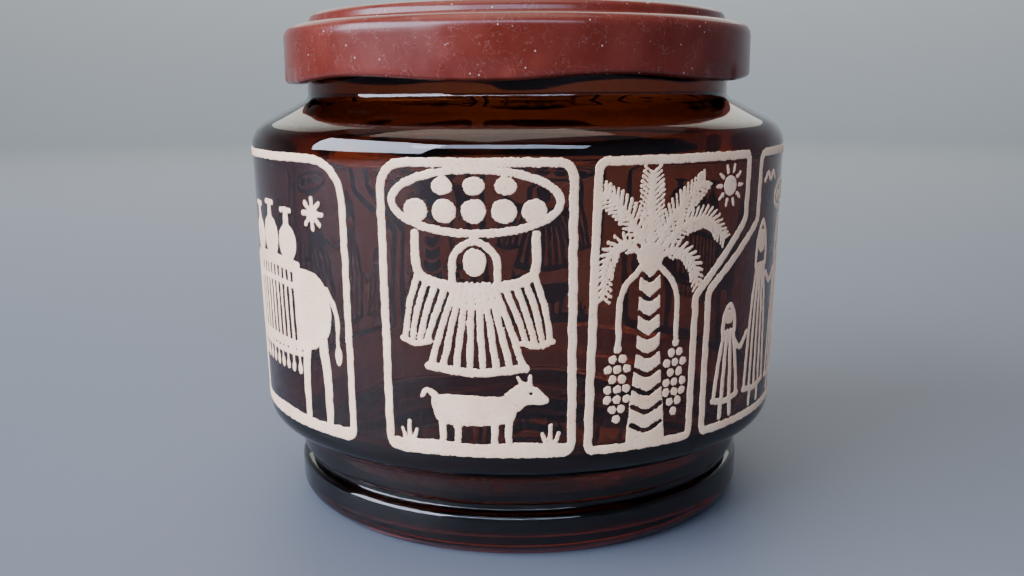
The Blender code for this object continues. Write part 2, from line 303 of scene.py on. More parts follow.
def jar_grid(settings):
    """The half section turned about Z, plus the thread, two mould seams and the inside's waves."""
    section = jar_section(settings)
    middle = (section[1:] + section[:-1]) / 2
    on_neck = (middle[:, 0] > NECK_RADIUS - 0.2) & (middle[:, 1] > NECK_BASE + 1.5)
    section = spaced(section, np.where(on_neck, 0.38, 2.2))
    seams = np.array([-88.0, 92.0])
    near_seams = [seam + np.linspace(-0.7, 0.7, 9) for seam in seams]
    azimuth = np.concatenate([np.arange(0, 360, 1.5) - 180, *near_seams])
    azimuth = np.unique(np.round(azimuth, 4))
    radius, height = section[:, :1], section[:, 1:]
    inside = np.arange(len(section))[:, None] < np.argmax(section[:, 1])
    outer = ~inside & (radius > 30)
    from_seam = np.abs(np.mod(azimuth - seams[0] + 90, 180) - 90)
    seam = 0.05 * np.exp(-(from_seam / 0.28) ** 2) * outer * smoothstep(height, 9.5, 14)
    bars = thread(azimuth, height, settings.thread_proud / MM) * (outer & (height > NECK_BASE))
    wave = settings.wave / MM * swell(azimuth, height, 3, 46.0)
    wave = wave * inside * smoothstep(radius, 4, 30) * (1 - smoothstep(height, NECK_BASE - 4, NECK_BASE + 2))
    return around(radius + seam + bars - wave, azimuth, height)


# ---------------------------------------------------------------- frieze

def spline(points, count=10):
    """Smooth line through its points: a cubic between each two, with their neighbours' slope."""
    p = np.asarray(points, float)
    if len(p) < 3:
        return p
    p = np.vstack([2 * p[0] - p[1], p, 2 * p[-1] - p[-2]])
    t = np.linspace(0, 1, count, endpoint=False)[None, :, None]
    a, b, c, d = p[:-3, None], p[1:-2, None], p[2:-1, None], p[3:, None]
    q = 2 * b + (c - a) * t + (2 * a - 5 * b + 4 * c - d) * t**2 + (3 * b - a - 3 * c + d) * t**3
    return np.vstack([q.reshape(-1, 2) / 2, p[-2]])


def closed_spline(points, count=8):
    p = np.asarray(points, float)
    line = spline(np.vstack([p[-2:], p, p[:2]]), count)
    return line[2 * count:][:len(p) * count]


def rounded_sides(corners):
    """Closed line through (u, v, radius) corners, each cut across by a parabola."""
    p = np.array([c[:2] for c in corners], float)
    before, after = np.roll(p, 1, 0) - p, np.roll(p, -1, 0) - p
    before /= np.linalg.norm(before, axis=1, keepdims=True)
    after /= np.linalg.norm(after, axis=1, keepdims=True)
    half = np.arccos(np.clip((before * after).sum(1), -1, 1)) / 2
    reach = (np.array([c[2] for c in corners]) / np.tan(half))[:, None]
    t = np.linspace(0, 1, 9)[None, :, None]
    start, corner, stop = (x[:, None] for x in (p + before * reach, p, p + after * reach))
    return ((1 - t) ** 2 * start + 2 * t * (1 - t) * corner + t**2 * stop).reshape(-1, 2)


def ripple(u, v, size, seed):
    """Sum of nine sine waves in seeded directions, about size mm long, from -1 to 1."""
    rng = np.random.default_rng(seed)
    total = np.zeros_like(u)
    for _ in range(9):
        angle, phase = rng.uniform(0, math.tau, 2)
        turns = math.tau * rng.uniform(0.7, 1.5) / size
        total += np.sin((u * math.cos(angle) + v * math.sin(angle)) * turns + phase)
    return total / 4.5


class Stencil:
    """Distance in mm to the edge of the printed shapes over a grid, below zero where ink lies."""

    def __init__(self, width):
        across, up = (np.arange(-STENCIL_MARGIN, size + STENCIL_MARGIN, STENCIL_PITCH)
                      for size in (width, FRIEZE_HEIGHT))
        self.u, self.v = np.meshgrid(across, up, indexing="ij")
        self.field = np.full(self.u.shape, BARE)

    def lay(self, points, reach, distance, cut=False):
        """Take the nearer of the stencil and a new shape, or cut the shape out of it."""
        low, high = points.min(0) - reach + STENCIL_MARGIN, points.max(0) + reach + STENCIL_MARGIN
        low = np.maximum(np.floor(low / STENCIL_PITCH).astype(int), 0)
        high = np.maximum(np.ceil(high / STENCIL_PITCH).astype(int) + 1, 0)
        part = slice(low[0], high[0]), slice(low[1], high[1])
        new = distance(self.u[part], self.v[part])
        old = self.field[part]
        self.field[part] = np.maximum(old, -new) if cut else np.minimum(old, new)

    @staticmethod
    def to_sides(a, b, u, v):
        """For each grid point and side a-b: place of the nearest point along it, and its distance."""
        along = b - a
        du, dv = u[..., None] - a[:, 0], v[..., None] - a[:, 1]
        t = (du * along[:, 0] + dv * along[:, 1]) / np.maximum((along**2).sum(1), 1e-9)
        t = np.clip(t, 0, 1)
        return t, np.hypot(du - t * along[:, 0], dv - t * along[:, 1])

    def stroke(self, points, width, end=None, cut=False):
        """Straight pieces with round ends, their width running from width to end."""
        p = np.asarray(points, float)
        half = np.linspace(width, width if end is None else end, len(p)) / 2

        def distance(u, v):
            t, gap = self.to_sides(p[:-1], p[1:], u, v)
            return (gap - half[:-1] - t * (half[1:] - half[:-1])).min(-1)

        self.lay(p, half.max() + 1.0, distance, cut)

    def line(self, points, width, end=None, cut=False):
        self.stroke(spline(points), width, end, cut)

    def ring(self, u, v, wide, tall, count, width):
        """Outlined ellipse, smoothed through count points."""
        turn = np.linspace(0, math.tau, count, endpoint=False)
        line = closed_spline(np.stack([u + wide * np.cos(turn), v + tall * np.sin(turn)], 1))
        self.stroke(np.vstack([line, line[:1]]), width)

    def fill(self, points, smooth=True, cut=False, keep=False):
        """Filled outline: distance to its sides, with its sign from the crossings to the right."""
        a = closed_spline(points) if smooth else np.asarray(points, float)
        b = np.roll(a, -1, 0)

        def distance(u, v):
            gap = self.to_sides(a, b, u, v)[1].min(-1)
            rise = np.where(a[:, 1] == b[:, 1], 1e-9, b[:, 1] - a[:, 1])
            spans = (a[:, 1] > v[..., None]) != (b[:, 1] > v[..., None])
            cross = u[..., None] < a[:, 0] + (b - a)[:, 0] * (v[..., None] - a[:, 1]) / rise
            return np.where((spans & cross).sum(-1) % 2 == 1, -gap, gap)

        if keep:
            self.field = np.maximum(self.field, distance(self.u, self.v))
        else:
            self.lay(a, 1.0, distance, cut)

    def dot(self, u, v, wide, tall, cut=False):
        """Filled ellipse."""
        def distance(gu, gv):
            x, y = (gu - u) / wide, (gv - v) / tall
            k = np.hypot(x, y)
            return (k - 1) * k / np.maximum(np.hypot(x / wide, y / tall), 1e-6)

        self.lay(np.array([[u, v]]), max(wide, tall) + 1.0, distance, cut)

    def fan(self, first, last, count, width, end=None):
        """Lines blended from one curve to another, as the folds of a robe."""
        a, b = np.asarray(first, float), np.asarray(last, float)
        for t in np.linspace(0, 1, count):
            self.line(a + (b - a) * t, width, end)

    def frond(self, points, count, reach, width):
        """Palm leaf: a rib with slanted leaflets on both sides, shorter towards its ends."""
        rib = spline(points, 20)
        self.stroke(rib, 1.05, 0.55)
        where = np.linspace(0.14, 0.99, count) * (len(rib) - 1)
        at = np.stack([np.interp(where, np.arange(len(rib)), rib[:, k]) for k in (0, 1)], 1)
        ahead = np.gradient(at, axis=0)
        ahead /= np.linalg.norm(ahead, axis=1, keepdims=True)
        side = np.stack([-ahead[:, 1], ahead[:, 0]], 1)
        size = reach * np.sin(np.linspace(0.95, 2.5, count)) ** 0.7
        for way in (-1, 1):
            tips = at + (0.62 * ahead + way * 0.78 * side) * size[:, None]
            for root, tip in zip(at, tips):
                self.stroke([root, tip], width, width * 0.8)

    def border(self, corners):
        """Keep what lies inside the panel's rounded outline, then line it."""
        line = rounded_sides(corners)
        self.fill(line, smooth=False, keep=True)
        self.stroke(np.vstack([line, line[:1]]), BORDER)


def draw_basket_bearer(s):
    """A robed figure seen from the front, a dish of fruit on its head and a goat before it."""
    middle = 15.3
    s.ring(middle, 39.4, 12.7, 4.7, 14, 1.2)
    for u in (6.4, 10.85, 15.3, 19.75, 24.2):
        s.dot(u, 38.0, 1.85, 1.8)
    for u in (10.6, 15.3, 20.0):
        s.dot(u, 41.7, 1.6, 1.35)
    # head, scarf, raised arms and hanging sleeves
    s.dot(15.3, 30.4, 1.8, 2.1)
    s.line([(11.9, 27.4), (12.2, 31.4), (15.3, 33.6), (18.4, 31.4), (18.7, 27.4)], 1.1)
    for way in (-1, 1):
        arm, outer, inner, cuff = ([(middle + way * u, v) for u, v in points] for points in (
            [(3.6, 26.6), (8.6, 28.6), (9.2, 34.6)], [(8.8, 28.6), (10.4, 23.6), (11.2, 18.6)],
            [(4.6, 26.4), (6.2, 22.4), (7.6, 18.4)], [(11.6, 18.4), (9.4, 17.7), (7.2, 18.2)]))
        s.line(arm, 1.6, 1.25)
        s.fan(outer, inner, 4, 1.0, 0.9)
        s.line(cuff, 0.95)
    # robe in pleats, with a band across the chest and a hem
    s.fan([(12.4, 27.0), (10.4, 21.4), (8.2, 14.6)], [(18.2, 27.0), (20.2, 21.4), (22.4, 14.6)],
          8, 0.95, 1.05)
    s.line([(11.4, 24.2), (15.3, 23.6), (19.2, 24.2)], 0.9)
    s.line([(7.8, 14.3), (15.3, 13.5), (22.8, 14.3)], 1.3)
    # goat, facing right
    s.fill([(8.6, 9.6), (13.0, 9.9), (18.0, 9.8), (21.2, 10.0), (21.4, 7.4), (20.2, 5.6), (15.0, 5.1),
            (9.8, 5.3), (8.4, 7.2)])
    s.fill([(19.4, 9.6), (21.8, 11.9), (23.8, 11.7), (26.2, 9.6), (25.7, 8.6), (23.0, 8.5), (21.2, 7.4)])
    s.line([(22.4, 11.4), (21.6, 12.9)], 0.9, 0.5)
    s.line([(23.5, 11.4), (23.5, 13.1)], 0.9, 0.5)
    s.line([(9.0, 9.4), (7.4, 10.4), (6.6, 9.4)], 1.1, 0.7)
    s.dot(23.6, 10.3, 0.28, 0.26, cut=True)
    for u in (9.8, 12.2, 18.0, 20.2):
        s.line([(u, 6.0), (u, 2.0)], 1.2, 1.0)
    # ground with tufts of grass
    s.fill([(1, 0.6), (29.8, 0.6), (29.6, 2.2), (22, 2.5), (15, 2.1), (8, 2.5), (1.2, 2.2)], False)
    for u in (4.2, 26.6):
        for lean in (-1.3, 0.0, 1.3):
            s.line([(u + lean * 0.4, 1.8), (u + lean, 5.2 - abs(lean))], 0.85, 0.5)
    s.border([(0.7, 0.7, 2.2), (29.9, 0.7, 1.8), (29.9, 45.1, 2.6), (0.7, 45.1, 4.6)])


def draw_date_palm(s):
    """A date palm with a chevron trunk, two bunches of dates and the sun beside it."""
    s.fill([(8.9, 30.6), (8.5, 16), (7.0, 0.8), (14.2, 0.8), (12.7, 16), (12.3, 30.6)], False)
    for k in range(9):
        half, v = 2.7 - 0.13 * k, 3.0 + 3.0 * k
        s.line([(10.6 - half, v + 1.1), (10.6, v), (10.6 + half, v + 1.1)], 0.8, cut=True)
    s.dot(10.6, 30.8, 2.4, 1.9)
    for points, count, reach in (
            ([(10.6, 31.0), (10.6, 37.0), (10.6, 43.2)], 14, 2.6),
            ([(10.0, 31.2), (6.8, 36.8), (2.9, 40.4)], 12, 2.5),
            ([(11.2, 31.2), (15.2, 37.2), (20.4, 41.4)], 15, 2.5),
            ([(9.6, 30.6), (5.8, 32.8), (3.2, 29.6), (2.8, 24.6)], 14, 1.9),
            ([(11.8, 31.0), (16.6, 34.8), (21.6, 35.6), (25.6, 32.2)], 17, 2.2),
            ([(11.6, 30.2), (15.4, 31.2), (18.6, 29.0), (19.8, 25.4)], 12, 1.9)):
        s.frond(points, count, reach, 0.58)
    s.dot(26.6, 40.4, 1.6, 1.6)
    for turn in np.arange(0, math.tau, math.tau / 10):
        ray = np.array([math.cos(turn), math.sin(turn)])
        s.line([(26.6, 40.4) + 2.3 * ray, (26.6, 40.4) + 3.3 * ray], 0.7, 0.5)
    # stems and bunches: rows of dates that narrow to a point
    for way in (-1, 1):
        middle = 10.6 + way * 5.2
        s.line([(10.6 + way * 1.6, 29.0), (middle - way * 0.4, 25.0), (middle, 17.4)], 0.95)
        for row, count in enumerate((1, 2, 3, 2, 3, 3, 2, 1)):
            for step in np.arange(count) - (count - 1) / 2:
                s.dot(middle + step * 1.6, 16.6 - row * 1.6, 0.68, 0.68)
    s.border([(0.7, 0.7, 1.2), (19.2, 0.7, 1.2), (19.6, 23.6, 2.0), (31.6, 34.6, 3.0), (31.9, 45.1, 1.2),
              (1.9, 45.1, 1.6)])


def robed_figure(s, u, foot, tall, wide, pleats):
    """A standing figure in a pleated robe: round head, scarf, hem and two feet."""
    chest, head = foot + 0.8 * tall, foot + 0.93 * tall
    s.dot(u, head, 0.19 * wide, 0.065 * tall)
    s.line([(u - 0.26 * wide, chest), (u - 0.22 * wide, head + 0.2), (u, foot + 1.04 * tall),
            (u + 0.22 * wide, head + 0.2), (u + 0.26 * wide, chest)], 0.9)
    s.fan([(u - 0.2 * wide, chest), (u - 0.38 * wide, foot + 0.5 * tall), (u - wide / 2, foot + 3.6)],
          [(u + 0.2 * wide, chest), (u + 0.38 * wide, foot + 0.5 * tall), (u + wide / 2, foot + 3.6)],
          pleats, 0.9, 0.95)
    s.line([(u - wide / 2 - 0.3, foot + 3.5), (u, foot + 2.9), (u + wide / 2 + 0.3, foot + 3.5)], 1.0)
    for way in (-1, 1):
        s.line([(u + way * 0.2 * wide, foot + 3.2), (u + way * 0.22 * wide, foot + 0.4)], 1.1, 1.0)


def draw_walkers(s):
    """A child and two grown people in long robes, one with a dish of fruit on the head."""
    robed_figure(s, 6.8, 1.8, 18.4, 6.6, 4)
    s.line([(8.6, 14.6), (10.6, 13.2), (12.8, 15.4)], 0.95)
    robed_figure(s, 17.2, 1.8, 30.6, 8.6, 5)
    robed_figure(s, 28.6, 1.8, 30.6, 8.6, 5)
    s.line([(20.2, 24.4), (22.9, 22.6), (25.6, 24.4)], 1.0)
    s.line([(30.6, 24.4), (32.2, 21.2), (33.6, 21.6)], 1.0)
    s.line([(33.6, 25.4), (34.1, 14.0), (34.4, 2.0)], 0.7)
    s.ring(28.6, 37.2, 5.4, 2.5, 12, 0.95)
    for u in (25.8, 28.6, 31.4):
        s.dot(u, 37.2, 1.1, 1.1)
    s.line([(17.0, 40.4), (18.4, 41.6), (19.8, 40.4), (21.2, 41.6), (22.6, 40.4)], 0.9, 0.7)
    s.border([(0.7, 0.7, 1.3), (35.9, 0.7, 2.2), (35.9, 45.1, 4.6), (14.9, 45.1, 1.8), (14.6, 34.0, 2.6),
              (1.0, 24.0, 2.0)])


def draw_laden_camel(s):
    """A camel with a striped, fringed blanket, and three plain jars on its back."""
    s.fill([(3.4, 31.2), (5.2, 33.0), (8.4, 33.8), (10.2, 32.6), (10.2, 30.2), (7.6, 29.8), (4.6, 29.8)])
    s.line([(9.2, 32.0), (10.8, 27.6), (11.4, 23.4), (15.4, 20.0)], 2.8, 4.2)
    s.line([(9.2, 33.4), (9.9, 34.9)], 1.0, 0.6)
    s.dot(7.2, 32.0, 0.32, 0.26, cut=True)
    s.fill([(13.2, 22.6), (17.0, 25.8), (22.0, 27.2), (44.0, 27.2), (49.4, 25.8), (51.4, 21.6), (50.4, 16.6),
            (45.0, 13.6), (34.0, 12.9), (22.0, 13.3), (15.4, 15.0)])
    s.line([(50.6, 24.4), (52.7, 20.6), (52.7, 15.6)], 1.1, 0.8)
    s.dot(52.7, 13.8, 0.8, 1.6)
    for top, foot in ((17.0, 16.4), (21.4, 21.8), (44.8, 44.0), (49.0, 49.8)):
        s.line([(top, 16.0), (foot, 9.0), (foot, 2.0)], 2.3, 1.6)
    # blanket: cut free of the body, then striped and fringed
    s.fill([(24.4, 28.6), (42.0, 28.6), (42.6, 14.6), (23.8, 14.6)], False, cut=True)
    s.line([(24.0, 26.8), (33.2, 27.3), (42.4, 26.8)], 1.3)
    s.line([(23.9, 23.9), (33.2, 24.3), (42.5, 23.9)], 1.0)
    s.fan([(24.6, 26.4), (24.4, 19.0), (24.2, 12.8)], [(41.8, 26.4), (42.0, 19.0), (42.2, 12.8)], 11, 0.9)
    s.line([(23.7, 12.6), (33.2, 12.1), (42.7, 12.6)], 1.0)
    for u in np.linspace(24.4, 42.0, 9):
        s.line([(u, 12.4), (u, 10.8)], 0.6)
        s.dot(u, 9.9, 0.7, 1.0)
    # load
    for u, size in ((26.6, 3.0), (33.4, 3.4), (40.2, 3.0)):
        s.dot(u, 28.0 + size, size, size * 1.05)
        s.line([(u, 27.6 + 2 * size), (u, 30.0 + 2 * size)], 2.0, 1.5)
        s.line([(u - 1.6, 30.4 + 2 * size), (u + 1.6, 30.4 + 2 * size)], 0.95)
    s.line([(23.4, 27.6), (33.4, 28.2), (43.4, 27.6)], 1.1)
    for turn in np.arange(0, math.pi, math.pi / 4):
        ray = 2.4 * np.array([math.cos(turn), math.sin(turn)])
        s.line([(48.2, 36.4) - ray, (48.2, 36.4) + ray], 0.85)
    s.fill([(1, 0.6), (55, 0.6), (54.6, 2.2), (46, 1.9), (36, 2.4), (24, 1.9), (12, 2.3), (1.2, 2.0)], False)
    s.border([(0.7, 0.7, 1.6), (55.2, 0.7, 1.6), (55.2, 45.1, 7.5), (0.7, 45.1, 7.5)])


# Name, degrees from the front where the panel starts, width in mm and drawing
PANELS = (
    ("camel", -98.1, 55.9, draw_laden_camel),
    ("basket", -25.5, 30.6, draw_basket_bearer),
    ("palm", 11.8, 32.6, draw_date_palm),
    ("walkers", 37.0, 36.6, draw_walkers),
)


def cut_cells(field):
    """Triangles of the grid cells cut where the field crosses zero, and the sides of the cut.

    Every cell is two triangles. One whose corners all lie below zero stays whole; any other
    loses its corners above zero, and its cut side runs between the crossings on two sides.
    Returns the crossings and inner grid points as places on the grid, faces and cut sides.
    """
    rows, columns = field.shape
    inside = field < 0
    point = np.full(field.shape, -1)
    point[inside] = np.arange(inside.sum())
    places = [np.argwhere(inside).astype(float)]
    total = len(places[0])
    crossing = {}
    for du, dv in ((1, 0), (0, 1), (1, 1)):
        near, far = field[:rows - du, :columns - dv], field[du:, dv:]
        cut = (near < 0) != (far < 0)
        index = np.full(field.shape, -1)
        index[:rows - du, :columns - dv][cut] = total + np.arange(cut.sum())
        t = np.clip(near[cut] / (near[cut] - far[cut]), 0.06, 0.94)
        places.append(np.argwhere(cut) + t[:, None] * (du, dv))
        total += int(cut.sum())
        crossing[du, dv] = index
    here, right, up, both = ((slice(None, -1),) * 2, (slice(1, None), slice(None, -1)),
                             (slice(None, -1), slice(1, None)), (slice(1, None),) * 2)
    diagonal = crossing[1, 1][here]
    corners = np.concatenate([
        np.stack([point[here], point[right], point[both]], -1).reshape(-1, 3),
        np.stack([point[here], point[both], point[up]], -1).reshape(-1, 3)])
    sides = np.concatenate([
        np.stack([crossing[1, 0][here], crossing[0, 1][right], diagonal], -1).reshape(-1, 3),
        np.stack([diagonal, crossing[1, 0][up], crossing[0, 1][here]], -1).reshape(-1, 3)])
    count = (corners >= 0).sum(1)
    faces, walls = [corners[count == 3]], []
    for kept in (1, 2):
        some = count == kept
        first = np.argmax((corners[some] >= 0) == (kept == 1), axis=1)
        order = (np.arange(3) + first[:, None]) % 3
        p, e = np.take_along_axis(corners[some], order, 1), np.take_along_axis(sides[some], order, 1)
        if kept == 1:
            faces.append(np.stack([p[:, 0], e[:, 0], e[:, 2]], 1))
            walls.append(np.stack([e[:, 0], e[:, 2]], 1))
        else:
            faces += [np.stack([e[:, 0], p[:, 1], p[:, 2]], 1), np.stack([e[:, 0], p[:, 2], e[:, 2]], 1)]
            walls.append(np.stack([e[:, 2], e[:, 0]], 1))
    return np.vstack(places), np.vstack(faces), np.vstack(walls)


def enamel_panel(name, start, stencil, body_line, settings, material):
    """Thin closed shell of enamel: its face swells from its edge, its back sits in the glass."""
    field = stencil.field
    for size, share, seed in ((2.6, 1.0, 3), (0.9, 1.0, 4), (0.48, 1.1, 6)):
        field = field + share * (settings.ragged / MM) * ripple(stencil.u, stencil.v, size, seed)
    places, faces, walls = cut_cells(field)
    u, v = (places * STENCIL_PITCH - STENCIL_MARGIN).T
    cell = np.minimum(places.astype(int), np.array(field.shape) - 1)
    depth = np.maximum(-field[cell[:, 0], cell[:, 1]], 0) * (places % 1 == 0).all(1)
    crown = np.sqrt(1 - (1 - np.clip(depth / CROWN, 0, 1)) ** 2)
    proud = settings.proud / MM * (0.2 + 0.72 * crown + 0.08 * crown * ripple(u, v, 1.7, 5))
    azimuth, height = start + u / MM_PER_DEGREE, FRIEZE_BOTTOM + v
    radius = np.interp(height, body_line[:, 1], body_line[:, 0])
    points = np.vstack([around(radius + proud, azimuth, height),
                        around(radius - settings.bedded / MM, azimuth, height)])
    count = len(places)
    a, b = walls.T
    sides = np.vstack([np.stack([b, a, a + count], 1), np.stack([b, a + count, b + count], 1)])
    shell = np.vstack([faces, faces[:, ::-1] + count, sides])
    return new_piece(name, points, shell, [material], crease=55.0)


# ---------------------------------------------------------------- lid

def lid_section(settings):
    """Lines over the top, down the skirt and round the curl, and back inside; edge and radius."""
    sheet = settings.sheet / MM
    edge, top, radius = LID_LOW[2] / MM, LID_HIGH[2] / MM, LID_HIGH[1] / MM
    flange, curl, ring = top - 2.15, 0.8, radius - 4.35
    inner = ring - 6.6
    panel = top - 1.1
    outside = rounded([
        (0.0, panel, 0.0), (inner - 1.1, panel, 0.9), (inner, top, 0.9), (ring - 0.5, top, 1.5),
        (ring, flange, 0.8), (radius, flange, 2.8), (radius, edge + curl, 0.0)])
    sweep = math.tau - math.acos((curl - sheet) / curl)
    angles = -np.linspace(0, sweep, 19)
    rolled = np.stack([radius - curl + curl * np.cos(angles), edge + curl + curl * np.sin(angles)], 1)
    inside = rounded([
        (radius - sheet, edge + 2 * curl, 0.0), (radius - sheet, flange - sheet, 2.4),
        (ring - sheet, flange - sheet, 0.8), (ring - 0.5 - sheet, top - sheet, 1.1),
        (inner + sheet, top - sheet, 0.7), (inner - 1.1 + sheet, panel - sheet, 0.7),
        (0.0, panel - sheet, 0.0)])
    first = spaced(np.vstack([outside[:-1], rolled]), 0.9)
    return first, spaced(inside[1:], 1.6), edge, radius


def lid_grid(settings):
    """The half section turned about Z, pressed in over six lugs and scalloped between them.

    Also gives the first ring that lies inside the lid.
    """
    outside, inside, edge, outer = lid_section(settings)
    section = np.vstack([outside, inside])
    radius, height = section[:, :1], section[:, 1:]
    azimuth = np.arange(0, 360, 0.75)
    from_lug = np.mod(azimuth - LUG_AZIMUTH + LUG_PITCH / 2, LUG_PITCH) - LUG_PITCH / 2
    skirt, half_lug, fade, pressed = 41.95, 4.4, 0.75, 1.6      # mm; the last at the curl's inside
    lug = 0.5 - 0.5 * np.tanh((np.abs(np.radians(from_lug)) * skirt - half_lug) / fade)
    low = 1 - smoothstep(height, edge + 1.7, edge + 3.2)
    inward = np.clip((outer - radius) / pressed, 0, 1)
    dent = settings.dent / MM
    moved = radius - lug * low * (dent + (pressed - dent) * inward) * smoothstep(radius, 38, 40)
    rise = settings.scallop / MM * (0.5 - 0.5 * np.cos(np.radians(from_lug) * 6))
    squeeze = 1 - 0.12 * lug * low
    fading = (1 - smoothstep(height, edge + 0.5, edge + 6.0)) ** 1.5
    lifted = edge + (height - edge) * squeeze + rise * fading
    return around(moved, azimuth, np.where(radius > 38, lifted, height)), len(outside) - 1


def seal_grid(settings):
    """A ring with a rounded section, its underside a little hollow where the rim has pressed it."""
    low, high = GASKET_LOW[2] / MM, GASKET_HIGH[2] / MM
    outer = GASKET_HIGH[1] / MM
    inner, fillet = outer - 4.4, settings.round_over / MM
    line = rounded([(outer - 2.2, low, 0), (inner, low, fillet), (inner, high, fillet), (outer, high, fillet),
                    (outer, low, fillet), (outer - 2.2, low, 0)])[:-1]
    line = spaced(line, 0.45)[:-1]
    pressed = 0.16 * np.exp(-((line[:, 0] - outer + 0.7) / 0.7) ** 2) * (line[:, 1] < low + 0.5)
    azimuth = np.arange(0, 360, 2.0)
    radius, height = line[:, :1], (line[:, 1] + pressed)[:, None]
    flow = 0.04 * swell(azimuth, height, 8, 9.0) * (radius < outer - 3.0)
    return around(radius + np.maximum(flow, 0), azimuth, height)


# ---------------------------------------------------------------- materials

def add(tree, kind, values=(), links=(), **settings):
    """One shader node: its settings, then the values and the linked outputs of its sockets."""
    item = tree.nodes.new(kind)
    for key, value in settings.items():
        setattr(item, key, value)
    for socket, value in dict(values).items():
        item.inputs[socket].default_value = value
    for socket, source in dict(links).items():
        tree.links.new(source, item.inputs[socket])
    return item


def noise(tree, place, size, detail, roughness=0.5):
    """Noise from 0 to 1 whose lumps are about size mm long."""
    values = {"Scale": 1 / (size * MM), "Detail": detail, "Roughness": roughness}
    return add(tree, "ShaderNodeTexNoise", values, {"Vector": place}).outputs["Fac"]


def ranged(tree, value, low, high, first=0.0, last=1.0):
    """First at low, last at high, held outside them."""
    values = {"From Min": low, "From Max": high, "To Min": first, "To Max": last}
    return add(tree, "ShaderNodeMapRange", values, {"Value": value}).outputs["Result"]


def blend(tree, factor, first, last):
    """Colour between two plain colours."""
    return add(tree, "ShaderNodeMix", {6: (*first, 1.0), 7: (*last, 1.0)}, {"Factor": factor},
               data_type="RGBA").outputs[2]


def bump(tree, height, strength, depth, normal=None):
    """Normal that follows a height of up to depth mm, over another normal if there is one."""
    links = {"Height": height} if normal is None else {"Height": height, "Normal": normal}
    values = {"Strength": strength, "Distance": depth * MM}
    return add(tree, "ShaderNodeBump", values, links).outputs["Normal"]


def coated(tree, values, shade, gloss, normal):
    """Surface with its colour, roughness and normal linked, and plain values for the rest."""
    return {"Surface": add(tree, "ShaderNodeBsdfPrincipled", values, {
        "Base Color": shade, "Roughness": gloss, "Normal": normal})}


def new_material(name, finish):
    """Material whose surface, and volume if any, come from one function of tree and place."""
    made = bpy.data.materials.new(name)
    made.use_nodes = True
    tree = made.node_tree
    tree.nodes.clear()
    place = add(tree, "ShaderNodeTexCoord").outputs["Object"]
    made_of = finish(tree, place)
    ends = {key: node.outputs[0] for key, node in made_of.items()}
    add(tree, "ShaderNodeOutputMaterial", links=ends)
    return made


def amber_glass(settings):
    """Pressed soda-lime glass coloured brown: clear faces with the mould's soft ripple."""
    def finish(tree, place):
        # ripple left by the mould, some 14 mm long, and fine chill marks of 2 mm
        ripples = noise(tree, place, 14, 1.0)
        chill = noise(tree, place, 2.0, 2.0)
        uneven = bump(tree, chill, 0.2, 0.02, bump(tree, ripples, 0.5, 0.22))
        tint = add(tree, "ShaderNodeValToRGB", links={"Fac": ripples})
        tint.color_ramp.elements[0].color = (*linear("#f4e4d6"), 1.0)
        tint.color_ramp.elements[1].color = (*linear("#fff8f2"), 1.0)
        surface = add(tree, "ShaderNodeBsdfPrincipled", {
            "Roughness": 0.02, "IOR": 1.52, "Transmission Weight": 1.0, "Specular IOR Level": 0.24},
            {"Normal": uneven, "Base Color": tint.outputs["Color"]})
        volume = add(tree, "ShaderNodeVolumeAbsorption", {
            "Color": (*settings.absorbed, 1.0), "Density": settings.density})
        return {"Surface": surface, "Volume": volume}
    return new_material("amber_pressed_glass", finish)


def fired_enamel(settings):
    """Screen-printed glass enamel, fired: a chalky cream with a low gloss, thinner in patches."""
    def finish(tree, place):
        # the ink lay unevenly over 5 mm patches; its grains, some 0.35 mm, stay in the surface
        patches = noise(tree, place, 5, 4.0, 0.6)
        grain = noise(tree, place, 0.35, 2.0)
        shade = blend(tree, ranged(tree, patches, 0.36, 0.66), settings.thin, settings.enamel)
        speck = ranged(tree, grain, 0.3, 0.42, 0.72)
        toned = add(tree, "ShaderNodeMix", {"Factor": 1.0}, {6: shade, 7: speck},
                    data_type="RGBA", blend_type="MULTIPLY").outputs[2]
        gloss = ranged(tree, patches, 0, 1, 0.3, 0.5)
        return coated(tree, {"IOR": 1.54}, toned, gloss, bump(tree, grain, 0.35, 0.03))
    return new_material("fired_cream_enamel", finish)


